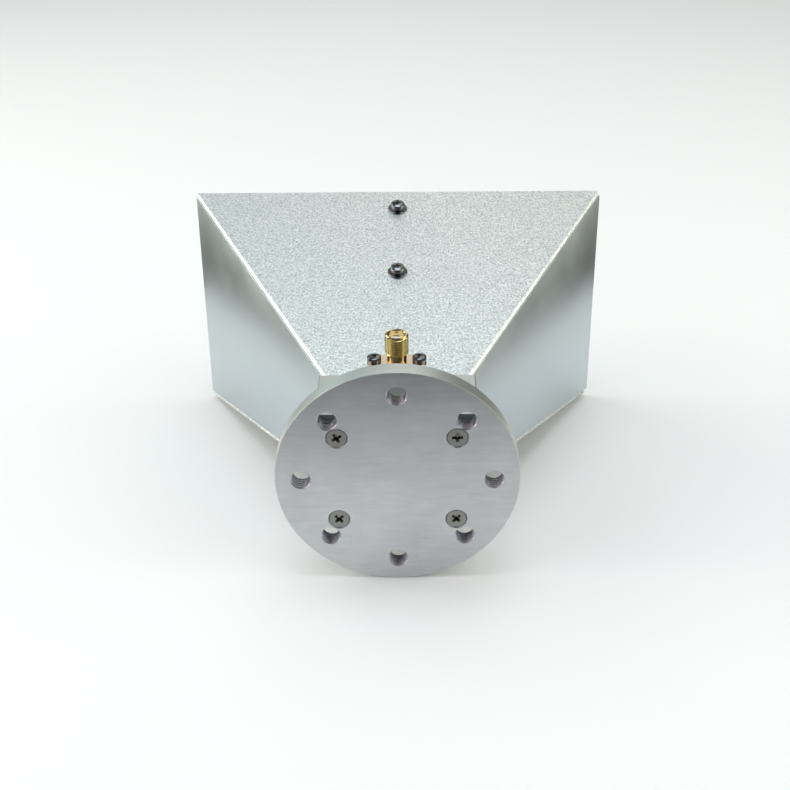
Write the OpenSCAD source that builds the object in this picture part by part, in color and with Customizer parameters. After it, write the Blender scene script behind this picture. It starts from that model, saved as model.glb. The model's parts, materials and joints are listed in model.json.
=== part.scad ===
// Double-ridged horn antenna with a coaxial feed and a round mounting flange.
// Origin: centre of the flange's outer face. +Y looks out of the horn, +Z points to the socket.
// Sizes are in millimetres.

/* [Mounting flange] */
// Outside diameter of the round flange
flange_d = 66; // [60:0.5:76]
// Thickness of the flange
flange_t = 5; // [4:0.5:8]
// Bevel on both rims of the flange
flange_bevel = 0.4; // [0.2:0.1:0.8]
// Diameter of the circle through the tapped holes
tap_pcd = 52; // [50.5:0.5:54]
// Number of tapped holes round the flange
tap_count = 8; // [4:4:8]
// Diameter of the tapped holes
tap_d = 5; // [4:0.1:5.4]
// Bevel at the mouths of the tapped holes
tap_bevel = 0.4; // [0.2:0.1:0.6]

/* [Flange screws] */
// Distance between the flange screws, side to side
flange_screw_dx = 32; // [30:0.5:34]
// Distance between the flange screws, up and down
flange_screw_dz = 26; // [24:0.5:27]
// Thread diameter of the flange screws
flange_screw_d = 3; // [2.5:0.5:3]
// Length of the flange screws
flange_screw_len = 12; // [8:1:16]
// Head diameter of the flange screws
flange_head_d = 5.8; // [5:0.1:6.2]
// How deep the flange screws' heads sit below the face
flange_head_sink = 0.25; // [0.1:0.05:0.5]

/* [Waveguide block] */
// Width of the block
block_w = 43.5; // [41:0.5:48]
// Height of the block
block_h = 35; // [34:0.5:42]
// Length of the block behind the horn
block_l = 21; // [20:0.5:30]
// Bevel along the block's long edges
block_bevel = 0.3; // [0.1:0.1:0.8]
// Width of the cavity
cavity_w = 28; // [24:0.5:28]
// Height of the cavity
cavity_h = 21; // [18:0.5:21]
// Corner radius of the cavity
cavity_r = 3; // [2.5:0.5:5]

/* [Horn] */
// Length of the flared part
horn_l = 84; // [70:1:110]
// Outside width of the mouth
mouth_w = 130; // [110:1:150]
// Outside height of the mouth
mouth_h = 75; // [64:1:90]
// Outside width of the flare where it meets the block
throat_w = 41; // [38:0.5:41]
// Thickness of the top and bottom plates
plate_t = 1.5; // [1:0.1:2]
// Thickness of the side plates
side_t = 1.5; // [1:0.1:2]
// How far the side plates stand out past the edges of the top and bottom plates
seam_step = 0.3; // [0.1:0.1:0.6]
// Bevel along the slanted edges of the top and bottom plates
plate_bevel = 0.25; // [0.1:0.05:0.4]

/* [Ridges] */
// Thickness of the ridges
ridge_w = 8; // [6:0.5:10]
// Gap between the ridges at the feed
feed_gap = 1.2; // [0.8:0.1:2]
// Distance from the flange to the back of the ridges
back_space = 4; // [3:0.5:6]
// Distance from the feed to where the ridges start to open
feed_run = 4; // [3:0.5:8]
// Distance from the ends of the ridges to the plane of the mouth
ridge_inset = 1.5; // [0.5:0.5:6]
// Depth of the ridges' noses at the mouth
nose_depth = 2.2; // [1.5:0.1:4]

/* [Ridge screws] */
// Thread diameter of the ridge screws
ridge_screw_d = 2.5; // [2:0.5:2.5]
// Head diameter of the ridge screws
ridge_head_d = 4.2; // [4:0.1:5]
// Head height of the ridge screws
ridge_head_h = 2.2; // [1.5:0.1:2.4]
// Distance from the mouth to the front screws
front_screw_inset = 9; // [8:0.5:14]
// Distance between the front and the middle screws
screw_pitch = 31; // [26:0.5:40]
// Length of the screws through the plates
plate_screw_len = 8; // [6:0.5:9]
// How far the rear screws reach into the ridges
rear_screw_grip = 5; // [4:0.5:6]
// Outside diameter of the washers
washer_d = 6; // [5.4:0.1:7]
// Thickness of the washers
washer_t = 0.5; // [0.3:0.1:0.8]

/* [Coaxial socket] */
// Distance from the flange's inner face to the socket's axis
feed_y = 12; // [8:0.5:12.5]
// Height of the pad under the socket
pad_h = 8.2; // [4:0.1:10]
// Length of the socket's flange
socket_flange_l = 15.9; // [15.4:0.1:16.4]
// Width of the socket's flange, and of the pad
socket_flange_w = 5.7; // [5.4:0.1:6]
// Thickness of the socket's flange
socket_flange_t = 1.6; // [1.2:0.1:2]
// Distance between the socket's screws
socket_screw_dx = 12.2; // [11.8:0.1:12.6]
// Thread diameter of the socket's screws
socket_screw_d = 2; // [1.6:0.1:2]
// Head diameter of the socket's screws
socket_head_d = 3.8; // [3.3:0.1:3.8]
// Head height of the socket's screws
socket_head_h = 1.5; // [1.2:0.1:1.7]
// Length of the socket's screws
socket_screw_len = 6; // [4:0.5:7]
// Diameter of the plain neck above the flange
neck_d = 5.3; // [5.1:0.1:5.8]
// Height of the plain neck
neck_h = 2; // [1.5:0.1:3]
// Outside diameter of the coupling thread
thread_d = 6.35; // [6.2:0.05:6.5]
// Length of the coupling thread
thread_h = 6; // [5:0.1:8]
// Diameter of the open recess in the socket's mouth
recess_d = 4.6; // [4.5:0.05:4.7]
// Depth of the open recess
recess_h = 1.9; // [1.5:0.1:2.2]
// Diameter of the insulator
insulator_d = 4.1; // [3.6:0.1:4.2]
// Diameter of the centre contact
contact_d = 1.27; // [1:0.01:1.4]
// Diameter of the hole in the top of the contact
contact_bore_d = 0.92; // [0.8:0.01:0.95]
// Depth of the hole in the top of the contact
contact_bore_h = 3; // [2:0.5:4]
// How far the contact reaches into the lower ridge
contact_grip = 3.5; // [2:0.5:5]

/* [Fits] */
// Gap round a screw in its threaded hole
thread_gap = 0.05; // [0.02:0.01:0.1]
// Gap round a screw in a clearance hole
clear_gap = 0.2; // [0.1:0.05:0.3]
// Gap round the insulator and the contact
slip_gap = 0.03; // [0.02:0.01:0.05]
// Extra depth at the end of a blind threaded hole
tip_room = 1; // [0.5:0.5:1.5]

/* [Hidden] */
$fn = 48;

// Cutters reach this far past the faces they cut
over = 1;
// Number of straight steps along the curved edge of a ridge
ridge_steps = 36;
// Share of a pan head's height that is straight
head_side = 0.35;
// Length and width of a cross recess, as shares of the head's diameter
cross_l = 0.6;
cross_w = 0.15;
// Depth of a cross recess, as a share of the head's diameter
cross_h = 0.22;
// Bevel at the socket's mouth
mouth_bevel = 0.3;

throat_y = flange_t + block_l;
mouth_y = throat_y + horn_l;
socket_y = flange_t + feed_y;
pad_top = block_h / 2 + pad_h;
socket_top = pad_top + socket_flange_t;
thread_start = socket_top + neck_h;
socket_mouth = thread_start + thread_h;

// Flare angles of the top and bottom plates, and of the side plates
pitch = atan((mouth_h - block_h) / 2 / horn_l);
side_angle = atan((mouth_w - throat_w) / 2 / horn_l);
plate_drop = plate_t / cos(pitch);
side_drop = side_t / cos(side_angle);
plate_len = horn_l / cos(pitch);

// Outer and inner height of the flare at a distance y from the flange's outer face
function outer_z(y) = block_h / 2 + (y - throat_y) * tan(pitch);
function inner_z(y) = outer_z(y) - plate_drop;
// Half width of the side plates' outer faces, and of the top plate, at the same place
function side_x(y) = throat_w / 2 + (y - throat_y) * tan(side_angle);
function plate_x(y) = side_x(y) - seam_step;

ridge_y0 = flange_t + back_space;
ridge_y1 = mouth_y - ridge_inset;
open_y = socket_y + feed_run;
nose_z = inner_z(ridge_y1) - nose_depth;
taper = ln(nose_z / (feed_gap / 2)) / (ridge_y1 - open_y);
// Height of a ridge's working edge above the centre plane
function ridge_z(y) = y < open_y ? feed_gap / 2 : feed_gap / 2 * exp(taper * (y - open_y));

front_screw_y = mouth_y - front_screw_inset;
middle_screw_y = front_screw_y - screw_pitch;
// The rear screws stand midway between the socket's pad and the horn
rear_screw_y = (socket_y + socket_flange_w / 2 + throat_y) / 2;
rear_screw_len = (block_h - cavity_h) / 2 + rear_screw_grip;

// ---- Shared shapes ----

module cross_recess(head_d) {
    for (turn = [0, 90])
        rotate(turn)
            translate([-cross_l * head_d / 2, -cross_w * head_d / 2, -cross_h * head_d])
                cube([cross_l * head_d, cross_w * head_d, cross_h * head_d + over]);
}

// Screw with a domed head that stands on z = 0, and a shank below
module pan_screw(d, len, head_d, head_h, lift = 0) {
    side = head_side * head_h;
    dome_r = (pow(head_d / 2, 2) + pow(head_h - side, 2)) / 2 / (head_h - side);
    translate([0, 0, -len]) cylinder(d = d, h = len + lift);
    difference() {
        translate([0, 0, lift])
            intersection() {
                cylinder(d = head_d, h = head_h);
                translate([0, 0, head_h - dome_r]) sphere(r = dome_r);
            }
        translate([0, 0, lift + head_h]) cross_recess(head_d);
    }
}

// Screw with a conical head whose flat top is at z = 0
module flat_screw(d, len, head_d) {
    cone_h = (head_d - d) / 2;
    difference() {
        union() {
            translate([0, 0, -cone_h]) cylinder(d1 = d, d2 = head_d, h = cone_h);
            translate([0, 0, -len]) cylinder(d = d, h = len - cone_h);
        }
        cross_recess(head_d);
    }
}

// Puts a shape's z axis along the outward normal of the top plate at distance y
module on_top_plate(y) {
    translate([0, y, outer_z(y)]) rotate([pitch, 0, 0]) children();
}

// Puts a shape's z axis along -Y at one of the four flange screws
module at_flange_screw(side, level) {
    translate([side * flange_screw_dx / 2, flange_head_sink, level * flange_screw_dz / 2])
        rotate([90, 0, 0]) children();
}

module lower() {
    mirror([0, 0, 1]) children();
}

// ---- Mounting flange ----

module tapped_hole() {
    translate([0, 0, -over]) cylinder(d = tap_d, h = flange_t + 2 * over);
    for (face = [0, 1])
        translate([0, 0, face * flange_t])
            mirror([0, 0, face])
                translate([0, 0, -over])
                    cylinder(d1 = tap_d + 2 * (tap_bevel + over), d2 = tap_d, h = tap_bevel + over);
}

// Room for a flange screw: countersink, clearance for the head's top, and shank
module flange_screw_hole() {
    head = flange_head_d + 2 * clear_gap;
    shank = flange_screw_d + 2 * clear_gap;
    cone_h = (head - shank) / 2;
    translate([0, 0, -cone_h]) cylinder(d1 = shank, d2 = head, h = cone_h);
    cylinder(d = head, h = flange_head_sink + over);
    translate([0, 0, -flange_t - over]) cylinder(d = shank, h = flange_t + over);
}

module mounting_flange() {
    r = flange_d / 2;
    color("silver")
        difference() {
            rotate([-90, 0, 0])
                rotate_extrude()
                    polygon([
                        [0, 0], [r - flange_bevel, 0], [r, flange_bevel],
                        [r, flange_t - flange_bevel], [r - flange_bevel, flange_t], [0, flange_t]
                    ]);
            for (i = [0 : tap_count - 1])
                rotate([0, i * 360 / tap_count, 0])
                    translate([tap_pcd / 2, 0, 0])
                        rotate([-90, 0, 0]) tapped_hole();
            for (side = [-1, 1], level = [-1, 1])
                at_flange_screw(side, level) flange_screw_hole();
        }
}

module flange_screw(side, level) {
    color("dimgray")
        at_flange_screw(side, level) flat_screw(flange_screw_d, flange_screw_len, flange_head_d);
}

// ---- Waveguide block ----

module cavity_outline() {
    inset_w = cavity_w / 2 - cavity_r;
    inset_h = cavity_h / 2 - cavity_r;
    square([cavity_w, 2 * inset_h], center = true);
    square([2 * inset_w, cavity_h], center = true);
    for (side = [-1, 1], level = [-1, 1])
        translate([side * inset_w, level * inset_h]) circle(r = cavity_r);
}

module block_outline() {
    w = block_w / 2;
    h = block_h / 2;
    b = block_bevel;
    polygon([
        [-w + b, -h], [w - b, -h], [w, -h + b], [w, h - b],
        [w - b, h], [-w + b, h], [-w, h - b], [-w, -h + b]
    ]);
}

module socket_screw_hole() {
    depth = socket_screw_len - socket_flange_t + tip_room;
    translate([0, 0, pad_top - depth])
        cylinder(d = socket_screw_d + 2 * thread_gap, h = depth + over);
}

module waveguide_body() {
    color("silver")
        difference() {
            union() {
                translate([0, throat_y, 0])
                    rotate([90, 0, 0]) linear_extrude(block_l) block_outline();
                translate([-socket_flange_l / 2, socket_y - socket_flange_w / 2, 0])
                    cube([socket_flange_l, socket_flange_w, pad_top]);
            }
            translate([0, throat_y + over, 0])
                rotate([90, 0, 0]) linear_extrude(block_l + 2 * over) cavity_outline();
            for (side = [-1, 1], level = [-1, 1])
                at_flange_screw(side, level)
                    translate([0, 0, -flange_screw_len - tip_room])
                        cylinder(d = flange_screw_d + 2 * thread_gap, h = flange_screw_len);
            translate([0, socket_y, 0])
                cylinder(d = insulator_d + 2 * slip_gap, h = pad_top + over);
            for (side = [-1, 1])
                translate([side * socket_screw_dx / 2, socket_y, 0]) socket_screw_hole();
            translate([0, rear_screw_y, -block_h / 2 - over])
                cylinder(d = ridge_screw_d + 2 * clear_gap, h = block_h + 2 * over);
        }
}

// ---- Horn plates ----

// Everything between the block's front face and the plane of the mouth
module flare_length() {
    translate([-mouth_w, throat_y, -mouth_h]) cube([2 * mouth_w, horn_l, 2 * mouth_h]);
}

// Bevel cutter along the right-hand slanted edge, in the plate's own plane
module plate_edge_cut() {
    slant = atan((plate_x(mouth_y) - plate_x(throat_y)) / plate_len);
    edge_len = plate_len / cos(slant);
    translate([plate_x(throat_y), 0, 0])
        rotate(-slant)
            translate([0, -over, 0])
                rotate([0, 45, 0])
                    translate([-plate_bevel / sqrt(2), 0, -over])
                        cube([over + plate_bevel, edge_len + 2 * over, 2 * over]);
}

module flare_plate() {
    reach = plate_t;
    x0 = plate_x(throat_y - reach * cos(pitch));
    x1 = plate_x(mouth_y + reach * cos(pitch));
    color("gainsboro")
        intersection() {
            translate([0, throat_y, block_h / 2])
                rotate([pitch, 0, 0])
                    difference() {
                        translate([0, 0, -plate_t])
                            linear_extrude(plate_t)
                                polygon([
                                    [-x0, -reach], [x0, -reach],
                                    [x1, plate_len + reach], [-x1, plate_len + reach]
                                ]);
                        for (y = [front_screw_y, middle_screw_y])
                            translate([0, (y - throat_y) / cos(pitch), -plate_t - over])
                                cylinder(d = ridge_screw_d + 2 * clear_gap, h = plate_t + 2 * over);
                        for (side = [0, 1])
                            mirror([side, 0, 0]) plate_edge_cut();
                    }
            flare_length();
        }
}

module side_plate() {
    x0 = side_x(throat_y);
    x1 = side_x(mouth_y);
    z0 = inner_z(throat_y);
    z1 = inner_z(mouth_y);
    color("silver")
        intersection() {
            translate([0, 0, -mouth_h / 2])
                linear_extrude(mouth_h)
                    polygon([
                        [x0, throat_y], [x1, mouth_y],
                        [x1 - side_drop, mouth_y], [x0 - side_drop, throat_y]
                    ]);
            rotate([90, 0, 90])
                linear_extrude(mouth_w)
                    polygon([[throat_y, -z0], [mouth_y, -z1], [mouth_y, z1], [throat_y, z0]]);
        }
}

// ---- Ridges ----

module ridge_outline() {
    back_z = cavity_h / 2;
    step = (ridge_y1 - open_y) / ridge_steps;
    polygon(concat(
        [[ridge_y0, feed_gap / 2], [ridge_y0, back_z], [throat_y, back_z]],
        [[throat_y, inner_z(throat_y)], [ridge_y1, inner_z(ridge_y1)]],
        [for (i = [ridge_steps : -1 : 0]) let (y = open_y + i * step) [y, ridge_z(y)]]
    ));
}

module ridge_blank() {
    translate([-ridge_w / 2, 0, 0])
        rotate([90, 0, 90]) linear_extrude(ridge_w) ridge_outline();
}

// Threaded holes for the two screws through the plate and the one through the block
module ridge_screw_holes() {
    d = ridge_screw_d + 2 * thread_gap;
    for (y = [front_screw_y, middle_screw_y])
        on_top_plate(y)
            translate([0, 0, -plate_screw_len - tip_room])
                cylinder(d = d, h = plate_screw_len + tip_room);
    translate([0, rear_screw_y, block_h / 2 - rear_screw_len - tip_room])
        cylinder(d = d, h = rear_screw_len + tip_room);
}

module upper_ridge() {
    color("gainsboro")
        difference() {
            ridge_blank();
            ridge_screw_holes();
            translate([0, socket_y, 0]) cylinder(d = insulator_d + 2 * slip_gap, h = cavity_h);
        }
}

module lower_ridge() {
    color("gainsboro")
        lower()
            difference() {
                ridge_blank();
                ridge_screw_holes();
                translate([0, socket_y, 0])
                    cylinder(
                        d = contact_d + 2 * slip_gap,
                        h = feed_gap / 2 + contact_grip + tip_room
                    );
            }
}

module plate_screw(y) {
    color("darkslategray")
        on_top_plate(y)
            pan_screw(ridge_screw_d, plate_screw_len, ridge_head_d, ridge_head_h, washer_t);
}

module rear_screw() {
    color("darkslategray")
        translate([0, rear_screw_y, block_h / 2])
            pan_screw(ridge_screw_d, rear_screw_len, ridge_head_d, ridge_head_h);
}

module washer(y) {
    color("darkslategray")
        on_top_plate(y)
            difference() {
                cylinder(d = washer_d, h = washer_t);
                translate([0, 0, -over])
                    cylinder(d = ridge_screw_d + 2 * thread_gap, h = washer_t + 2 * over);
            }
}

// ---- Coaxial socket ----

module socket_shell() {
    color("gold")
        translate([0, socket_y, 0])
            difference() {
                union() {
                    translate([-socket_flange_l / 2, -socket_flange_w / 2, pad_top])
                        cube([socket_flange_l, socket_flange_w, socket_flange_t]);
                    rotate_extrude()
                        polygon([
                            [0, pad_top], [neck_d / 2, pad_top], [neck_d / 2, thread_start],
                            [thread_d / 2, thread_start], [thread_d / 2, socket_mouth - mouth_bevel],
                            [thread_d / 2 - mouth_bevel, socket_mouth], [0, socket_mouth]
                        ]);
                }
                translate([0, 0, pad_top - over])
                    cylinder(d = insulator_d + 2 * slip_gap, h = socket_mouth);
                translate([0, 0, socket_mouth - recess_h]) cylinder(d = recess_d, h = recess_h + over);
                for (side = [-1, 1])
                    translate([side * socket_screw_dx / 2, 0, pad_top - over])
                        cylinder(d = socket_screw_d + 2 * clear_gap, h = socket_flange_t + 2 * over);
            }
}

module socket_insulator() {
    color("white")
        translate([0, socket_y, 0])
            difference() {
                translate([0, 0, feed_gap / 2])
                    cylinder(d = insulator_d, h = socket_mouth - recess_h - feed_gap / 2);
                cylinder(d = contact_d + 2 * slip_gap, h = socket_mouth);
            }
}

module socket_contact() {
    top = socket_mouth - recess_h;
    bottom = -feed_gap / 2 - contact_grip;
    color("gold")
        translate([0, socket_y, 0])
            difference() {
                translate([0, 0, bottom]) cylinder(d = contact_d, h = top - bottom);
                translate([0, 0, top - contact_bore_h])
                    cylinder(d = contact_bore_d, h = contact_bore_h + over);
            }
}

module socket_screw(side) {
    color("darkslategray")
        translate([side * socket_screw_dx / 2, socket_y, socket_top])
            pan_screw(socket_screw_d, socket_screw_len, socket_head_d, socket_head_h);
}

mounting_flange();
flange_screw(-1, 1);  // flange_screw_upper_left
flange_screw(1, 1);  // flange_screw_upper_right
flange_screw(-1, -1);  // flange_screw_lower_left
flange_screw(1, -1);  // flange_screw_lower_right
waveguide_body();
flare_plate();  // top_plate
lower() flare_plate();  // bottom_plate
mirror([1, 0, 0]) side_plate();  // left_side_plate
side_plate();  // right_side_plate
upper_ridge();
lower_ridge();
plate_screw(front_screw_y);  // upper_front_screw
plate_screw(middle_screw_y);  // upper_middle_screw
rear_screw();  // upper_rear_screw
lower() plate_screw(front_screw_y);  // lower_front_screw
lower() plate_screw(middle_screw_y);  // lower_middle_screw
lower() rear_screw();  // lower_rear_screw
washer(front_screw_y);  // upper_front_washer
washer(middle_screw_y);  // upper_middle_washer
lower() washer(front_screw_y);  // lower_front_washer
lower() washer(middle_screw_y);  // lower_middle_washer
socket_shell();
socket_insulator();
socket_contact();
socket_screw(-1);  // socket_screw_left
socket_screw(1);  // socket_screw_right
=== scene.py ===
import json
import math

import bmesh
import bpy
from mathutils import Matrix, Vector


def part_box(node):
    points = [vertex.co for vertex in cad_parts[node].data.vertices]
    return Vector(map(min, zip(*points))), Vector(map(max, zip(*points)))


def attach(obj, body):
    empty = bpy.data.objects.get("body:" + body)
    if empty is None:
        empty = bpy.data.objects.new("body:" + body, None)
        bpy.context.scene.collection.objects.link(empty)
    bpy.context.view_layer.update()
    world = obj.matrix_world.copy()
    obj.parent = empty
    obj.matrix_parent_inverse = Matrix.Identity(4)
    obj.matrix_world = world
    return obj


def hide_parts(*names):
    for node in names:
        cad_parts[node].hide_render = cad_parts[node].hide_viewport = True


# A horn antenna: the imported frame's plain solids are dressed with detailed pieces and finishes.
# Lengths are in metres. Positions come from the frame; the sizes below are the real ones.

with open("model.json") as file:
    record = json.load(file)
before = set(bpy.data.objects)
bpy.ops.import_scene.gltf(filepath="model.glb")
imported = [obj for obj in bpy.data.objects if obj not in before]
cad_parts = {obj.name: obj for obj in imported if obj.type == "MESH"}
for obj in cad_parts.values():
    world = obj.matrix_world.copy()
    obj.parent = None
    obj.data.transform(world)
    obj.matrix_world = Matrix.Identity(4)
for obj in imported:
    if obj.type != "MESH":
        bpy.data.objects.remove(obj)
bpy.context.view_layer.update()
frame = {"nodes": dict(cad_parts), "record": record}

MM = 0.001
ROUND_STEPS = 64
THREAD_STEPS = 36
MERGE = 1e-7
TOUCH = 1e-6
OVER = 0.4 * MM

# One thread tooth: radius (0 root, 1 crest) against height in pitches
TOOTH = ((0, 0), (0, 0.2), (1, 0.52), (1, 0.68), (0, 1))
THREAD_DEPTH = 0.54

# Flange: tapped holes M6, sunk screws M3
TAP_CREST_R = 2.5 * MM
TAP_ROOT_R = 2.95 * MM
TAP_PITCH = 1.0 * MM
TAP_MOUTH_R = 2.8 * MM
TAP_MOUTH_SLOPE = 1.1
RIM_EASE = 0.12 * MM
SINK_R = 3.05 * MM
SINK_LAND = 0.25 * MM
SINK_GAP = 0.2 * MM
SUNK_HEAD_R = 2.74 * MM
SUNK_HEAD_LAND = 0.2 * MM
SUNK_HEAD_EASE = 0.06 * MM
SUNK_SHANK_R = 1.5 * MM
SUNK_PITCH = 0.5 * MM
SUNK_TURNS = {"flange_screw_upper_left": 30, "flange_screw_upper_right": 2,
              "flange_screw_lower_left": 44, "flange_screw_lower_right": 47}

# Pan-head screws and washers
PLATE_HEAD_R = 2.1 * MM
PLATE_HEAD_H = 2.2 * MM
PLATE_SHANK_R = 1.25 * MM
PLATE_PITCH = 0.45 * MM
PLATE_SCREW_L = 8 * MM
WASHER_BORE_R = 1.35 * MM
WASHER_T = 0.5 * MM
WASHER_EASE = 0.12 * MM
SOCKET_HEAD_R = 1.9 * MM
SOCKET_HEAD_H = 1.5 * MM
SOCKET_SHANK_R = 1.0 * MM
SOCKET_PITCH = 0.4 * MM
SHANK_GRIP = 0.1 * MM
PLATE_TURNS = {"upper_front": 2, "upper_middle": 8, "lower_front": 35, "lower_middle": 80}
REAR_TURNS = {"upper_rear": (1, 15), "lower_rear": (-1, 50)}
SOCKET_TURNS = {"left": 25, "right": 70}

# A pan head from its foot: an upright side, a round shoulder and a low crown,
# as shares of its radius and height
PAN_HEAD = ((0, 0), (0.97, 0), (1, 0.03), (1, 0.66), (0.985, 0.72), (0.94, 0.77), (0.87, 0.81),
            (0.72, 0.86), (0.5, 0.92), (0.25, 0.96), (0, 0.97))

# Cross recess, as shares of the head's radius
CROSS_L = 1.25
CROSS_W = 0.36
CROSS_DEPTH = 0.5
CROSS_TAPER = 0.5
CROSS_ROUND = 0.3
RECESS_OVER = 0.5 * MM

# Coaxial socket
COUPLING_R = 3.175 * MM
COUPLING_ROOT_R = 2.72 * MM
COUPLING_PITCH = 0.7056 * MM
COUPLING_L = 6.0 * MM
NECK_R = 2.65 * MM
BORE_R = 2.08 * MM
RECESS_R = 2.3 * MM
RECESS_H = 1.9 * MM
MOUTH_BEVEL = 0.3 * MM
LIP_W = 0.25 * MM
LIP_STEP = 0.05 * MM
NECK_STEP = 0.1 * MM
SOCKET_PLATE_T = 1.6 * MM
SOCKET_PLATE_CORNER = 0.5 * MM
SOCKET_PLATE_EASE = 0.1 * MM
SOCKET_HOLE_GAP = 0.1 * MM
NECK_OVERLAP = 0.2 * MM
CONTACT_SLOT = 0.18 * MM
CONTACT_SLOT_SHARE = 0.8
CONTACT_EASE = 0.08 * MM
CONTACT_BORE_R = 0.46 * MM
CONTACT_BORE_H = 3 * MM
CONTACT_BORE_TIP = 0.3 * MM

# Eased edges of the horn, the block and the ridges
PLATE_EASE = 0.12 * MM
PLATE_SHORTEST = 3 * MM
RIDGE_EASE = 0.15 * MM
RIDGE_SHORTEST = 1.5 * MM

# Studio
FLOOR_HALF = 8
BACKDROP_R = 7
BACKDROP_GLOW = 0.6
WINDOW_SIDES = 150 * MM
WINDOW_BEHIND = -85 * MM
WINDOW_AHEAD = 185 * MM
CARD_LIFT = 0.5 * MM
LAMP_AIM = Vector((0, 50, 0)) * MM
LAMP_DISTANCE = 0.9
LAMP_SIDE = 0.5
# name, azimuth (0 is behind the flange), elevation, power, colour
LAMPS = (("overhead", 0, 90, 3.3, (0.80, 0.91, 1.0)),
         ("low_left", 270, 15, 5.94, (0.97, 1.0, 0.84)),
         ("low_right", 90, 15, 4.15, (1.0, 1.0, 0.85)),
         ("beyond", 180, 33, 0.65, (0.98, 1.0, 0.94)),
         ("beyond_high", 150, 55, 0.79, (0.96, 1.0, 0.86)),
         ("beyond_left", 235, 35, 1.75, (0.83, 1.0, 0.98)),
         ("near_left", 300, 35, 1.55, (1.0, 0.84, 0.98)),
         ("near_right", 60, 35, 1.53, (0.92, 0.98, 1.0)))
CAMERA_AT = Vector((3.10, -317.89, 213.08)) * MM
CAMERA_LENS = 64.86
CAMERA_YAW = 0.63
CAMERA_DOWN = 30.43
CAMERA_ROLL = -0.63


# ---------------------------------------------------------------- making pieces

def middle(node):
    """Centre of a CAD node's box."""
    low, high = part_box(node)
    return (low + high) / 2


def place(at, along):
    """Turns a shape made along +Z to point along another way, and moves it there."""
    return Matrix.Translation(at) @ Vector(along).to_track_quat("Z", "Y").to_matrix().to_4x4()


def as_object(bm, name):
    """Makes an object of a bmesh, with its normals outward."""
    bmesh.ops.recalc_face_normals(bm, faces=bm.faces)
    mesh = bpy.data.meshes.new(name)
    bm.to_mesh(mesh)
    bm.free()
    made = bpy.data.objects.new(name, mesh)
    bpy.context.scene.collection.objects.link(made)
    return made


def smooth(piece, angle=20):
    """Smooth shading with sharp edges past an angle in degrees."""
    piece.data.shade_smooth()
    piece.data.set_sharp_from_angle(angle=math.radians(angle))


def fit(piece, slot, nodes, *finishes):
    """Paints a piece, fastens it to the antenna and hides the CAD nodes it stands for."""
    for finish in finishes:
        piece.data.materials.append(finish)
    smooth(piece)
    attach(piece, "root")
    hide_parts(*nodes)


def cut(piece, *cutters):
    """Cuts shapes out of a piece and removes the cutters."""
    for cutter in cutters:
        difference = piece.modifiers.new("cut", "BOOLEAN")
        difference.operation = "DIFFERENCE"
        difference.solver = "EXACT"
        difference.object = cutter
    bpy.context.view_layer.update()
    graph = bpy.context.evaluated_depsgraph_get()
    made = bpy.data.meshes.new_from_object(piece.evaluated_get(graph))
    piece.modifiers.clear()
    piece.data = made
    for cutter in cutters:
        bpy.data.objects.remove(cutter)


def turned(bm, profile, closed=False):
    """Spins a line of (radius, height) points round the Z axis."""
    points = [bm.verts.new((r, 0, h)) for r, h in profile]
    lines = [bm.edges.new(pair) for pair in zip(points, points[1:])]
    if closed:
        lines.append(bm.edges.new((points[-1], points[0])))
    bmesh.ops.spin(bm, geom=points + lines, cent=(0, 0, 0), axis=(0, 0, 1),
                   angle=math.tau, steps=ROUND_STEPS, use_merge=True)
    bmesh.ops.remove_doubles(bm, verts=bm.verts, dist=MERGE)


def loop_at(bm, height):
    """The open edges that lie at a height."""
    return [e for e in bm.edges if e.is_boundary
            and all(abs(v.co.z - height) < TOUCH for v in e.verts)]


def thread_wall(bm, root, crest, pitch, low, high, limit):
    """A helical V thread between two heights; limit keeps each point's radius at a height."""
    turns = math.ceil((high - low) / pitch) + 2
    points = [bm.verts.new(((root, crest)[out], 0, low + (h - 1) * pitch)) for out, h in TOOTH]
    lines = [bm.edges.new(pair) for pair in zip(points, points[1:])]
    bmesh.ops.spin(bm, geom=points + lines, cent=(0, 0, 0), axis=(0, 0, 1),
                   dvec=(0, 0, pitch / THREAD_STEPS), angle=math.tau * turns,
                   steps=THREAD_STEPS * turns)
    bmesh.ops.remove_doubles(bm, verts=bm.verts, dist=TOUCH)
    for v in bm.verts:
        radius = math.hypot(v.co.x, v.co.y)
        ratio = limit(radius, v.co.z) / radius
        v.co.x *= ratio
        v.co.y *= ratio
    for height, way in ((low, -1), (high, 1)):
        bmesh.ops.bisect_plane(bm, geom=bm.verts[:] + bm.edges[:] + bm.faces[:], dist=1e-8,
                               plane_co=(0, 0, height), plane_no=(0, 0, way), clear_outer=True)


def threaded_rod(radius, pitch, low, high):
    """A closed rod with an outside thread and a small bevel at its lower end."""
    root = radius - THREAD_DEPTH * pitch
    rod = bmesh.new()
    thread_wall(rod, root, radius, pitch, low, high,
                lambda r, h: min(r, root + max(0, h - low)))
    bmesh.ops.holes_fill(rod, edges=loop_at(rod, low) + loop_at(rod, high), sides=0)
    return rod


def join(bm, other):
    """Puts another bmesh's shape in this one."""
    scratch = bpy.data.meshes.new("scratch")
    bmesh.ops.recalc_face_normals(other, faces=other.faces)
    other.to_mesh(scratch)
    other.free()
    bm.from_mesh(scratch)
    bpy.data.meshes.remove(scratch)


def all_in_one(shapes, name):
    """Several bmeshes as one object."""
    bm = bmesh.new()
    for shape in shapes:
        join(bm, shape)
    return as_object(bm, name)


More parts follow.
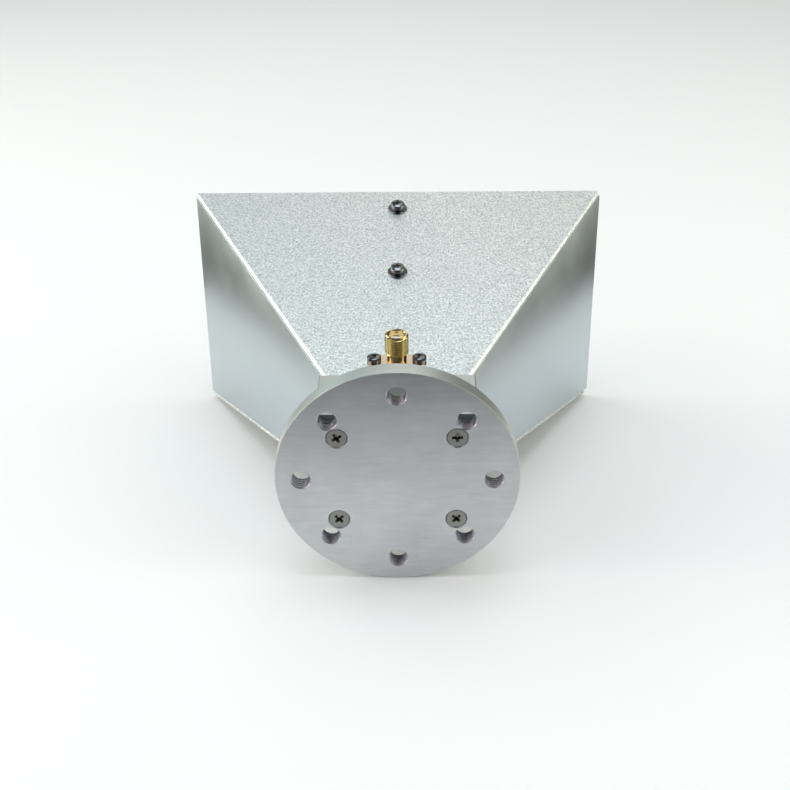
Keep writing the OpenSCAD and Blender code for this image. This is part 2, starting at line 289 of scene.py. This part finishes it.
def eased_copy(node, name, width=PLATE_EASE, shortest=PLATE_SHORTEST):
    """A merged copy of a CAD node with its long sharp edges eased, kept in the node's box."""
    bm = bmesh.new()
    bm.from_mesh(frame["nodes"][node].data)
    bmesh.ops.remove_doubles(bm, verts=bm.verts, dist=MERGE)
    bmesh.ops.dissolve_limit(bm, angle_limit=math.radians(0.3), verts=bm.verts, edges=bm.edges)
    sharp = [e for e in bm.edges if e.is_manifold and e.calc_face_angle() > math.radians(25)
             and e.calc_length() > shortest]
    bmesh.ops.bevel(bm, geom=sharp, offset=width, offset_type="OFFSET", affect="EDGES",
                    segments=2, profile=0.5, material=-1, clamp_overlap=True)
    low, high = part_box(node)
    for v in bm.verts:
        v.co = Vector(max(a, min(b, c)) for a, b, c in zip(low, high, v.co))
    return as_object(bm, name)


# ---------------------------------------------------------------- flange

def tap_places():
    """Centres of the tapped holes, from the record."""
    taps = next(m for m in frame["record"]["mounts"] if m["name"] == "flange_taps")
    reach = taps["dims"]["pcd_mm"] / 2 * MM
    count = taps["dims"]["count"]
    turns = [math.tau * i / count for i in range(count)]
    return [Vector((reach * math.sin(t), 0, reach * math.cos(t))) for t in turns]


def flange_thickness():
    """Thickness of the flange."""
    low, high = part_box("mounting_flange")
    return high.y - low.y


def tapped_cutter(where):
    """The shape of a tapped hole, a little longer than the flange is thick."""
    thick = flange_thickness()
    mouth_h = TAP_MOUTH_R - TAP_CREST_R

    def limit(r, h):
        depth = min(h, thick - h)
        return max(r, TAP_MOUTH_R - max(0, depth) * TAP_MOUTH_SLOPE) if depth < mouth_h else r

    bm = bmesh.new()
    thread_wall(bm, TAP_CREST_R, TAP_ROOT_R, TAP_PITCH, -OVER, thick + OVER, limit)
    bmesh.ops.holes_fill(bm, edges=loop_at(bm, -OVER) + loop_at(bm, thick + OVER), sides=0)
    bmesh.ops.transform(bm, matrix=place(where, (0, 1, 0)), verts=bm.verts)
    return bm


def sink_cutter(where):
    """The shape of a countersunk clearance hole."""
    thick = flange_thickness()
    hole_r = SUNK_SHANK_R + SINK_GAP
    bm = bmesh.new()
    turned(bm, [(0, -OVER), (SINK_R, -OVER), (SINK_R, SINK_LAND),
                (hole_r, SINK_LAND + SINK_R - hole_r), (hole_r, thick + OVER), (0, thick + OVER)])
    bmesh.ops.transform(bm, matrix=place(where, (0, 1, 0)), verts=bm.verts)
    return bm


def flange_disc(face_finish, hole_finish, rim_finish):
    """The round flange, with its tapped and countersunk holes and its turned rim."""
    radius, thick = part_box("mounting_flange")[1].x, flange_thickness()
    round_in = 0.3 * RIM_EASE
    bm = bmesh.new()
    turned(bm, [(0, 0), (radius - RIM_EASE, 0), (radius - round_in, round_in),
                (radius, RIM_EASE), (radius, thick - RIM_EASE),
                (radius - round_in, thick - round_in), (radius - RIM_EASE, thick), (0, thick)])
    bmesh.ops.transform(bm, matrix=place((0, 0, 0), (0, 1, 0)), verts=bm.verts)
    disc = as_object(bm, "flange_disc")
    taps = tap_places()
    sinks = [Vector((middle(n).x, 0, middle(n).z)) for n in SUNK_TURNS]
    cut(disc, all_in_one([tapped_cutter(p) for p in taps], "taps"),
        all_in_one([sink_cutter(p) for p in sinks], "sinks"))
    fit(disc, "turned_aluminium", ["mounting_flange"], face_finish, hole_finish, rim_finish)
    for face in disc.data.polygons:
        centre = face.center
        flat = abs(face.normal.y) > 0.999
        for p in taps + sinks:
            if not flat and math.hypot(centre.x - p.x, centre.z - p.z) < SINK_R * 1.01:
                face.material_index = 1
        if math.hypot(centre.x, centre.z) > radius - RIM_EASE:
            face.material_index = 2


# ---------------------------------------------------------------- screws

def cross_cutter(length, width, depth, top, turn):
    """A tapered cross for a screw's recess, its open end at a height."""
    bm = bmesh.new()
    bmesh.ops.create_grid(bm, x_segments=3, y_segments=3, size=length / 2)
    corners = [f for f in bm.faces if abs(f.calc_center_median().x) > length / 5
               and abs(f.calc_center_median().y) > length / 5]
    bmesh.ops.delete(bm, geom=corners, context="FACES")
    for v in bm.verts:
        for i in range(2):
            if abs(v.co[i]) < length / 4:
                v.co[i] = math.copysign(width / 2, v.co[i])
    grown = bmesh.ops.extrude_face_region(bm, geom=bm.faces[:])
    deep = [g for g in grown["geom"] if isinstance(g, bmesh.types.BMVert)]
    bmesh.ops.translate(bm, vec=(0, 0, -depth - RECESS_OVER), verts=deep)
    bmesh.ops.scale(bm, vec=(CROSS_TAPER, CROSS_TAPER, 1), verts=deep)
    bmesh.ops.translate(bm, vec=(0, 0, top + RECESS_OVER), verts=bm.verts)
    inner = [e for e in bm.edges if abs(e.verts[0].co.z - e.verts[1].co.z) > depth / 2
             and math.hypot(*e.verts[0].co.xy) < width and math.hypot(*e.verts[1].co.xy) < width]
    bmesh.ops.bevel(bm, geom=inner, offset=width * CROSS_ROUND, offset_type="OFFSET",
                    affect="EDGES", segments=3, profile=0.5, material=-1, clamp_overlap=True)
    bmesh.ops.rotate(bm, cent=(0, 0, 0), matrix=Matrix.Rotation(turn, 3, "Z"), verts=bm.verts)
    return as_object(bm, "cross")


def screw(name, node, slot, finish, head, shank, where, turn, recess_top):
    """A screw of a head's profile, a cross recess and a threaded shank, put in place.

    The shank is its radius, its pitch, and the heights of its tip and its upper end."""
    head_r = max(r for r, _ in head)
    bm = bmesh.new()
    turned(bm, head)
    body = as_object(bm, name)
    cut(body, cross_cutter(head_r * CROSS_L, head_r * CROSS_W, head_r * CROSS_DEPTH, recess_top,
                           math.radians(turn)))
    bm = bmesh.new()
    bm.from_mesh(body.data)
    radius, pitch, tip, top = shank
    join(bm, threaded_rod(radius, pitch, tip, top))
    bmesh.ops.transform(bm, matrix=where, verts=bm.verts)
    bm.to_mesh(body.data)
    bm.free()
    fit(body, slot, [node], finish)


def flange_screws(finish):
    """Four countersunk screws, their recesses turned as they were left."""
    neck = SUNK_HEAD_LAND + SUNK_HEAD_R - SUNK_SHANK_R
    head = [(0, -neck), (SUNK_SHANK_R, -neck), (SUNK_HEAD_R, -SUNK_HEAD_LAND),
            (SUNK_HEAD_R, -SUNK_HEAD_EASE), (SUNK_HEAD_R - SUNK_HEAD_EASE, 0), (0, 0)]
    for node, turn in SUNK_TURNS.items():
        low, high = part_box(node)
        where = place(Vector((middle(node).x, low.y, middle(node).z)), (0, -1, 0))
        shank = (SUNK_SHANK_R, SUNK_PITCH, low.y - high.y, -neck * 0.9)
        screw(node.replace("flange_screw", "sunk_screw"), node, "dark_steel", finish, head, shank,
              where, turn, 0)


def pan_screw(name, node, finish, radius, height, shank, where, turn):
    """A pan-head screw, its head's foot at the given place."""
    head = [(radius * r, height * h) for r, h in PAN_HEAD]
    screw(name, node, "black_nickel", finish, head, shank, where, turn, height)


def plate_normal(node):
    """Outward direction of a sloping plate."""
    return max(frame["nodes"][node].data.polygons,
               key=lambda f: f.area * (f.normal.z * middle(node).z > 0)).normal.copy()


def plate_screws(finish, washer_finish):
    """The screws and washers that hold the ridges to the sloping plates."""
    half = WASHER_T / 2
    shank = (PLATE_SHANK_R, PLATE_PITCH, -PLATE_SCREW_L, SHANK_GRIP)
    for spot, turn in PLATE_TURNS.items():
        out = plate_normal("top_plate" if spot.startswith("upper") else "bottom_plate")
        washer = spot + "_washer"
        centre = middle(washer)
        washer_low, washer_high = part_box(washer)
        outer_r = (washer_high.x - washer_low.x) / 2
        bm = bmesh.new()
        turned(bm, [(WASHER_BORE_R, -half), (outer_r - WASHER_EASE, -half),
                    (outer_r, WASHER_EASE - half), (outer_r, half - WASHER_EASE),
                    (outer_r - WASHER_EASE, half), (WASHER_BORE_R, half)], closed=True)
        bmesh.ops.transform(bm, matrix=place(centre, out), verts=bm.verts)
        fit(as_object(bm, spot + "_ring"), "black_nickel", [washer], washer_finish)
        pan_screw(spot + "_pan_screw", spot + "_screw", finish, PLATE_HEAD_R, PLATE_HEAD_H,
                  shank, place(centre + out * half, out), turn)


def rear_screws(finish):
    """The screws through the block into the backs of the ridges."""
    for spot, (way, turn) in REAR_TURNS.items():
        node = spot + "_screw"
        low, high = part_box(node)
        top = high.z if way > 0 else low.z
        at = Vector((middle(node).x, middle(node).y, top - way * PLATE_HEAD_H))
        shank = (PLATE_SHANK_R, PLATE_PITCH, PLATE_HEAD_H - (high.z - low.z), SHANK_GRIP)
        pan_screw(spot + "_pan_screw", node, finish, PLATE_HEAD_R, PLATE_HEAD_H, shank,
                  place(at, (0, 0, way)), turn)


# ---------------------------------------------------------------- coaxial socket

def socket_barrel():
    """Neck, coupling thread and open mouth of the socket, standing on its plate."""
    low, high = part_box("socket_shell")
    tall = high.z - low.z - SOCKET_PLATE_T
    start = tall - COUPLING_L

    def limit(r, h):
        return min(r, COUPLING_R - MOUTH_BEVEL + max(0, tall - h),
                   NECK_R + NECK_STEP + max(0, h - start))

    bm = bmesh.new()
    thread_wall(bm, COUPLING_ROOT_R, COUPLING_R, COUPLING_PITCH, start, tall, limit)
    inside = bmesh.new()
    turned(inside, [(NECK_R, start - LIP_STEP), (NECK_R, -SOCKET_PLATE_T / 2),
                    (BORE_R, -SOCKET_PLATE_T / 2), (BORE_R, tall - RECESS_H),
                    (RECESS_R, tall - RECESS_H), (RECESS_R, tall - MOUTH_BEVEL),
                    (RECESS_R + LIP_W, tall - LIP_STEP)])
    join(bm, inside)
    for end in (start, tall):
        bmesh.ops.bridge_loops(bm, edges=loop_at(bm, end) + loop_at(bm, end - LIP_STEP))
    centre = middle("socket_contact")
    bmesh.ops.translate(bm, vec=(centre.x, centre.y, low.z + SOCKET_PLATE_T), verts=bm.verts)
    return bm


def socket_plate():
    """The socket's two-hole plate, its corners rounded."""
    low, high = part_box("socket_shell")
    bm = bmesh.new()
    bmesh.ops.create_cube(bm, size=1)
    bmesh.ops.scale(bm, vec=(high.x - low.x, high.y - low.y, SOCKET_PLATE_T), verts=bm.verts)
    upright = [e for e in bm.edges if abs(e.verts[0].co.z - e.verts[1].co.z) > MM]
    bmesh.ops.bevel(bm, geom=upright, offset=SOCKET_PLATE_CORNER, offset_type="OFFSET",
                    affect="EDGES", segments=4, profile=0.5, material=-1)
    flat_edges = [e for e in bm.edges if e.calc_face_angle() > 1]
    bmesh.ops.bevel(bm, geom=flat_edges, offset=SOCKET_PLATE_EASE, offset_type="OFFSET",
                    affect="EDGES", segments=2, profile=0.5, material=-1)
    half_way = low.z + SOCKET_PLATE_T / 2
    bmesh.ops.translate(bm, vec=((low.x + high.x) / 2, (low.y + high.y) / 2, half_way),
                        verts=bm.verts)
    plate = as_object(bm, "gold_socket")
    reach = 3 * MM
    holes = []
    for node, radius in (("socket_screw_left", SOCKET_SHANK_R + SOCKET_HOLE_GAP),
                         ("socket_screw_right", SOCKET_SHANK_R + SOCKET_HOLE_GAP),
                         ("socket_contact", NECK_R - NECK_OVERLAP)):
        hole = bmesh.new()
        turned(hole, [(0, -reach), (radius, -reach), (radius, reach), (0, reach)])
        at = Vector((middle(node).x, middle(node).y, half_way))
        bmesh.ops.translate(hole, vec=at, verts=hole.verts)
        holes.append(hole)
    cut(plate, all_in_one(holes, "holes"))
    return plate


def coaxial_socket(finish, plate_finish, neck_painted_shade):
    """The gold shell of the socket, its plate a paler gold and its neck a darker gold that is
    painted shade under the coupling thread.
    """
    shell = socket_plate()
    bm = bmesh.new()
    bm.from_mesh(shell.data)
    join(bm, socket_barrel())
    bm.to_mesh(shell.data)
    bm.free()
    fit(shell, "gold_plate", ["socket_shell"], finish, plate_finish, neck_painted_shade)
    low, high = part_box("socket_shell")
    for face in shell.data.polygons:
        if face.center.z < low.z + SOCKET_PLATE_T + 0.01 * MM:
            face.material_index = 1
        # The neck and the step under the thread get the darker gold: painted shade, not a finish
        # of their own.
        elif face.center.z < high.z - COUPLING_L and face.normal.z < 0.5:
            face.material_index = 2


def centre_contact(finish):
    """The slotted centre contact."""
    low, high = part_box("socket_contact")
    radius, tall = (high.x - low.x) / 2, high.z - low.z
    bore_end = tall - CONTACT_BORE_H
    bm = bmesh.new()
    turned(bm, [(0, 0), (radius, 0), (radius, tall - CONTACT_EASE), (radius - CONTACT_EASE, tall),
                (CONTACT_BORE_R + CONTACT_EASE, tall), (CONTACT_BORE_R, tall - CONTACT_EASE),
                (CONTACT_BORE_R, bore_end), (0, bore_end - CONTACT_BORE_TIP)])
    pin = as_object(bm, "slotted_contact")
    slots = []
    for turn in (math.radians(45), math.radians(135)):
        slot = bmesh.new()
        bmesh.ops.create_cube(slot, size=1)
        bmesh.ops.scale(slot, verts=slot.verts,
                        vec=(CONTACT_SLOT, 2 * MM, 2 * CONTACT_BORE_H * CONTACT_SLOT_SHARE))
        bmesh.ops.rotate(slot, cent=(0, 0, 0), matrix=Matrix.Rotation(turn, 3, "Z"),
                         verts=slot.verts)
        bmesh.ops.translate(slot, vec=(0, 0, tall), verts=slot.verts)
        slots.append(as_object(slot, "slot"))
    cut(pin, *slots)
    centre = middle("socket_contact")
    pin.data.transform(Matrix.Translation((centre.x, centre.y, low.z)))
    fit(pin, "gold_plate", ["socket_contact"], finish)


def socket_screws(finish):
    """The two small screws that hold the socket."""
    for side, turn in SOCKET_TURNS.items():
        node = "socket_screw_" + side
        low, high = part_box(node)
        at = Vector((middle(node).x, middle(node).y, high.z - SOCKET_HEAD_H))
        shank = (SOCKET_SHANK_R, SOCKET_PITCH, SOCKET_HEAD_H - (high.z - low.z), SHANK_GRIP)
        pan_screw("socket_pan_screw_" + side, node, finish, SOCKET_HEAD_R, SOCKET_HEAD_H, shank,
                  place(at, (0, 0, 1)), turn)


# ---------------------------------------------------------------- horn, block and ridges

def mark_edges(piece, broad):
    """Gives the second finish to faces that aren't the plate's broad faces."""
    for face in piece.data.polygons:
        if abs(face.normal.dot(broad)) < 0.5:
            face.material_index = 1


def horn_plates(grain, satin, edge):
    """The four plates of the flare, with cut edges of their own finish."""
    for node in ("top_plate", "bottom_plate"):
        piece = eased_copy(node, node.replace("plate", "flare"))
        fit(piece, "blasted_plate", [node], grain, edge)
        mark_edges(piece, plate_normal(node))
    for node in ("left_side_plate", "right_side_plate"):
        piece = eased_copy(node, node.replace("side_plate", "flare"))
        fit(piece, "satin_plate", [node], satin, edge)
        broad = max(piece.data.polygons, key=lambda f: f.area).normal.copy()
        mark_edges(piece, broad)


def block(finish):
    """The milled block behind the flare, with the socket's pad on it."""
    fit(eased_copy("waveguide_body", "milled_block"), "milled_aluminium", ["waveguide_body"],
        finish)


def ridges(finish):
    """The two tapering ridges."""
    for node in ("upper_ridge", "lower_ridge"):
        piece = eased_copy(node, node.replace("ridge", "taper"), RIDGE_EASE, RIDGE_SHORTEST)
        fit(piece, "ridge_aluminium", [node], finish)


# ---------------------------------------------------------------- finishes

def shader(name, **sockets):
    """A material with one shader node, its plain values set on the shader's own sockets."""
    material = bpy.data.materials.new(name)
    material.use_nodes = True
    made = material.node_tree.nodes["Principled BSDF"]
    for socket, value in sockets.items():
        made.inputs[socket.replace("_", " ")].default_value = value
    return material


def add(material, kind, settings=(), **sockets):
    """Adds a node; a socket's value is a number, a colour, or a (node, output) to link from."""
    made = material.node_tree.nodes.new("ShaderNode" + kind)
    for name, value in dict(settings).items():
        setattr(made, name, value)
    for name, value in sockets.items():
        socket = made.inputs[int(name[1:])] if name[1:].isdigit() else made.inputs[
            name.replace("_", " ")]
        if isinstance(value, tuple) and isinstance(value[0], bpy.types.Node):
            material.node_tree.links.new(value[0].outputs[value[1]], socket)
        else:
            socket.default_value = value
    return made


def feed(material, socket, source):
    """Links a node's output to the shader."""
    made = material.node_tree.nodes["Principled BSDF"]
    material.node_tree.links.new(source[0].outputs[source[1]], made.inputs[socket])


def grid(material, stretch=(1, 1, 1)):
    """Object coordinates, stretched."""
    where = add(material, "TexCoord")
    return add(material, "Mapping", Vector=(where, "Object"), Scale=stretch)


def noise(material, at, scale, detail=2, rough=0.5):
    """An even random pattern; scale is in features per metre."""
    return add(material, "TexNoise", Vector=(at, "Vector"), Scale=scale, Detail=detail,
               Roughness=rough)


def between(material, source, low, high, to_low, to_high):
    """Maps a range of a pattern to a range of values."""
    return add(material, "MapRange", Value=source, _1=low, _2=high, _3=to_low, _4=to_high)


def tint(material, factor, first, second):
    """Mixes two colours by a pattern."""
    made = add(material, "Mix", {"data_type": "RGBA"})
    made.inputs[6].default_value = (*first, 1)
    made.inputs[7].default_value = (*second, 1)
    material.node_tree.links.new(factor[0].outputs[factor[1]], made.inputs[0])
    return made


def relief(material, height, distance):
    """Raises the surface by a pattern."""
    made = add(material, "Bump", Height=height, Distance=distance, Strength=1.0)
    feed(material, "Normal", (made, "Normal"))


def blend_sum(material, first, share, second):
    """A share of one pattern added to another."""
    return add(material, "Math", {"operation": "MULTIPLY_ADD"}, _0=first, _1=share, _2=second)


def blasted():
    """Coarse bright grain of the top and bottom plates."""
    m = shader("blasted_plate", Metallic=1.0)
    at = grid(m)
    coarse = noise(m, at, 1750, 3, 0.65)
    fine = noise(m, at, 4200, 1, 0.5)
    grains = blend_sum(m, (fine, 0), 0.45, (coarse, 0))
    shade = between(m, (grains, 0), 0.57, 0.86, 0.0, 1.0)
    colour = tint(m, (shade, 0), (0.46, 0.49, 0.49), (1.0, 1.0, 1.0))
    feed(m, "Base Color", (colour, 2))
    feed(m, "Roughness", (between(m, (grains, 0), 0.45, 0.9, 0.5, 0.36), 0))
    relief(m, (grains, 0), 0.18 * MM)
    return m


def satin():
    """Smooth satin of the side plates."""
    m = shader("satin_plate", Metallic=1.0)
    cloud = noise(m, grid(m), 40, 3, 0.6)
    fine = noise(m, grid(m), 3000, 2, 0.5)
    colour = tint(m, (cloud, 0), (0.55, 0.60, 0.63), (0.61, 0.66, 0.69))
    feed(m, "Base Color", (colour, 2))
    feed(m, "Roughness", (between(m, (cloud, 0), 0.3, 0.7, 0.36, 0.42), 0))
    relief(m, (fine, 0), 0.01 * MM)
    return m


def cut_edge():
    """Bright sawn edge of a plate."""
    m = shader("cut_edge", Metallic=1.0)
    fine = noise(m, grid(m, (1, 1, 8)), 2500, 2, 0.5)
    colour = tint(m, (fine, 0), (0.52, 0.53, 0.53), (0.70, 0.71, 0.71))
    feed(m, "Base Color", (colour, 2))
    feed(m, "Roughness", (between(m, (fine, 0), 0.3, 0.7, 0.35, 0.5), 0))
    relief(m, (fine, 0), 0.01 * MM)
    return m


def turned_aluminium():
    """Matt face of the flange, with faint marks."""
    m = shader("turned_aluminium", Metallic=1.0)
    wisps = noise(m, grid(m, (1, 1, 6)), 90, 4, 0.7)
    cloud = noise(m, grid(m), 30, 3, 0.6)
    fine = noise(m, grid(m), 3500, 2, 0.5)
    scuffs = blend_sum(m, (wisps, 0), 0.8, (cloud, 0))
    shade = between(m, (scuffs, 0), 0.65, 1.15, 0.0, 1.0)
    colour = tint(m, (shade, 0), (0.49, 0.50, 0.51), (0.64, 0.65, 0.66))
    feed(m, "Base Color", (colour, 2))
    feed(m, "Roughness", (between(m, (wisps, 0), 0.3, 0.7, 0.36, 0.44), 0))
    relief(m, (fine, 0), 0.012 * MM)
    return m


def cut_thread():
    """Walls of the tapped holes."""
    m = shader("cut_thread", Metallic=1.0)
    fine = noise(m, grid(m), 2500, 2, 0.5)
    colour = tint(m, (fine, 0), (0.52, 0.51, 0.54), (0.86, 0.85, 0.90))
    feed(m, "Base Color", (colour, 2))
    feed(m, "Roughness", (between(m, (fine, 0), 0.3, 0.7, 0.35, 0.5), 0))
    relief(m, (fine, 0), 0.03 * MM)
    return m


def turned_rim():
    """Lathe marks round the flange's rim."""
    m = shader("turned_rim", Metallic=1.0)
    marks = noise(m, grid(m, (0.02, 1, 0.02)), 2200, 3, 0.6)
    colour = tint(m, (marks, 0), (0.56, 0.58, 0.57), (0.78, 0.80, 0.79))
    feed(m, "Base Color", (colour, 2))
    feed(m, "Roughness", (between(m, (marks, 0), 0.3, 0.7, 0.42, 0.54), 0))
    relief(m, (marks, 0), 0.015 * MM)
    return m


def milled():
    """Satin milled faces of the block and the ridges."""
    m = shader("milled_aluminium", Metallic=1.0)
    marks = noise(m, grid(m, (1, 0.08, 1)), 1600, 2, 0.5)
    cloud = noise(m, grid(m), 50, 3, 0.6)
    colour = tint(m, (cloud, 0), (0.58, 0.60, 0.60), (0.66, 0.67, 0.67))
    feed(m, "Base Color", (colour, 2))
    feed(m, "Roughness", (between(m, (marks, 0), 0.3, 0.7, 0.36, 0.48), 0))
    relief(m, (marks, 0), 0.01 * MM)
    return m


def dark_steel():
    """Grey zinc of the sunk screws."""
    m = shader("dark_steel", Metallic=1.0)
    specks = noise(m, grid(m), 2600, 3, 0.6)
    colour = tint(m, (specks, 0), (0.16, 0.16, 0.15), (0.42, 0.42, 0.40))
    feed(m, "Base Color", (colour, 2))
    feed(m, "Roughness", (between(m, (specks, 0), 0.3, 0.7, 0.3, 0.5), 0))
    relief(m, (specks, 0), 0.02 * MM)
    return m


def black_nickel():
    """Dark glossy plating of the pan-head screws."""
    m = shader("black_nickel", Metallic=1.0)
    specks = noise(m, grid(m), 1800, 3, 0.6)
    colour = tint(m, (specks, 0), (0.13, 0.13, 0.135), (0.28, 0.28, 0.285))
    feed(m, "Base Color", (colour, 2))
    feed(m, "Roughness", (between(m, (specks, 0), 0.3, 0.7, 0.18, 0.30), 0))
    return m


def gold(name="gold_plate", deep=(0.72, 0.53, 0.22), pale=(0.92, 0.78, 0.44)):
    """Polished gold plating."""
    m = shader(name, Metallic=1.0)
    specks = noise(m, grid(m), 1500, 3, 0.6)
    colour = tint(m, (specks, 0), deep, pale)
    feed(m, "Base Color", (colour, 2))
    feed(m, "Roughness", (between(m, (specks, 0), 0.3, 0.7, 0.12, 0.22), 0))
    return m


def insulator():
    """Waxy white insulator."""
    m = shader("insulator", Metallic=0.0)
    specks = noise(m, grid(m), 1500, 3, 0.6)
    colour = tint(m, (specks, 0), (0.82, 0.80, 0.74), (0.90, 0.88, 0.84))
    feed(m, "Base Color", (colour, 2))
    feed(m, "Roughness", (between(m, (specks, 0), 0.3, 0.7, 0.4, 0.55), 0))
    return m


def pale_floor():
    """The floor's finish."""
    return shader("pale_floor", Base_Color=(0.62, 0.62, 0.62, 1), Roughness=0.9)


def black_card():
    """The surround's finish."""
    return shader("black_card", Base_Color=(0, 0, 0, 1), Roughness=1.0, Specular_IOR_Level=0.0)


def glow():
    """Even light of the backdrop."""
    return shader("backdrop", Base_Color=(0, 0, 0, 1), Roughness=1.0, Specular_IOR_Level=0.0,
                  Emission_Color=(1, 1, 1, 1), Emission_Strength=BACKDROP_GLOW)


# ---------------------------------------------------------------- the scene

def build_antenna():
    """Makes and paints every piece."""
    dark, nickel, yellow = dark_steel(), black_nickel(), gold()
    flange_disc(turned_aluminium(), cut_thread(), turned_rim())
    flange_screws(dark)
    plate_screws(nickel, nickel)
    rear_screws(nickel)
    # The third gold is a darker copy for the socket's neck: painted shade.
    coaxial_socket(yellow, gold("pale_gold_plate", (0.70, 0.56, 0.42), (0.86, 0.74, 0.60)),
                   gold("gold_painted_shade", (0.26, 0.17, 0.07), (0.48, 0.36, 0.18)))
    centre_contact(yellow)
    socket_screws(nickel)
    horn_plates(blasted(), satin(), cut_edge())
    block(milled())
    ridges(milled())
    kept = frame["nodes"]["socket_insulator"].data.materials
    kept.clear()
    kept.append(insulator())


def lay_down(bm, name, lift, finish):
    """Lays a flat shape where the flange's rim and the lower front screw rest; it is no part."""
    flange_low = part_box("mounting_flange")[0]
    back = Vector((0, flange_low.y, flange_low.z))
    front = Vector((0, middle("lower_front_screw").y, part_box("lower_front_screw")[0].z))
    slope = math.atan2(front.z - back.z, front.y - back.y)
    bmesh.ops.rotate(bm, cent=(0, 0, 0), matrix=Matrix.Rotation(slope, 3, "X"), verts=bm.verts)
    bmesh.ops.translate(bm, vec=back + Vector((0, 0, lift)), verts=bm.verts)
    flat = as_object(bm, name)
    if flat.data.polygons[0].normal.z < 0:
        flat.data.flip_normals()
    flat.data.materials.append(finish)
    return flat


def floor():
    """The pale floor."""
    bm = bmesh.new()
    bmesh.ops.create_grid(bm, x_segments=1, y_segments=1, size=FLOOR_HALF)
    lay_down(bm, "floor", 0, pale_floor())


def dark_surround():
    """A black card with a window in it, seen only in the metal: it shapes the reflections."""
    bm = bmesh.new()
    bmesh.ops.create_grid(bm, x_segments=3, y_segments=3, size=FLOOR_HALF)
    bmesh.ops.delete(bm, geom=[f for f in bm.faces if f.calc_center_median().length < 1],
                     context="FACES")
    for v in bm.verts:
        if abs(v.co.x) < FLOOR_HALF / 2:
            v.co.x = math.copysign(WINDOW_SIDES, v.co.x)
        if abs(v.co.y) < FLOOR_HALF / 2:
            v.co.y = WINDOW_BEHIND if v.co.y < 0 else WINDOW_AHEAD
    card = lay_down(bm, "dark_surround", CARD_LIFT, black_card())
    for ray in ("camera", "diffuse", "shadow", "transmission", "volume_scatter"):
        setattr(card, "visible_" + ray, False)


def backdrop():
    """A wide pale dome that lights the floor evenly, and that the metal doesn't mirror."""
    bm = bmesh.new()
    bmesh.ops.create_icosphere(bm, subdivisions=4, radius=BACKDROP_R)
    sky = as_object(bm, "backdrop")
    sky.data.flip_normals()
    sky.data.materials.append(glow())
    sky.visible_glossy = False
    sky.visible_shadow = False


def lamp(name, azimuth, elevation, power, colour):
    """A soft square lamp that looks at the antenna."""
    a, e = math.radians(azimuth), math.radians(elevation)
    way = Vector((math.sin(a) * math.cos(e), -math.cos(a) * math.cos(e), math.sin(e)))
    data = bpy.data.lights.new(name, "AREA")
    data.shape = "SQUARE"
    data.size = LAMP_SIDE
    data.energy = power
    data.color = colour
    made = bpy.data.objects.new(name, data)
    made.location = LAMP_AIM + way * LAMP_DISTANCE
    made.rotation_euler = way.to_track_quat("Z", "Y").to_euler()
    bpy.context.scene.collection.objects.link(made)


def lights():
    """Soft square lamps round the antenna, and a dark world that leaves the light to them."""
    for settings in LAMPS:
        lamp(*settings)
    world = bpy.data.worlds.new("studio")
    bpy.context.scene.world = world
    world.use_nodes = True
    back = world.node_tree.nodes["Background"]
    back.inputs["Strength"].default_value = 0


def camera():
    """The view from behind and above the flange."""
    data = bpy.data.cameras.new("camera")
    data.sensor_width = 36
    data.lens = CAMERA_LENS
    data.clip_start, data.clip_end = 0.01, 20
    made = bpy.data.objects.new("camera", data)
    turn = (Matrix.Rotation(math.radians(CAMERA_YAW), 4, "Z")
            @ Matrix.Rotation(math.radians(90 - CAMERA_DOWN), 4, "X")
            @ Matrix.Rotation(math.radians(CAMERA_ROLL), 4, "Z"))
    made.matrix_world = Matrix.Translation(CAMERA_AT) @ turn
    bpy.context.scene.collection.objects.link(made)
    bpy.context.scene.camera = made


build_antenna()
floor()
dark_surround()
backdrop()
lights()
camera()
bpy.context.scene.view_settings.view_transform = "Standard"
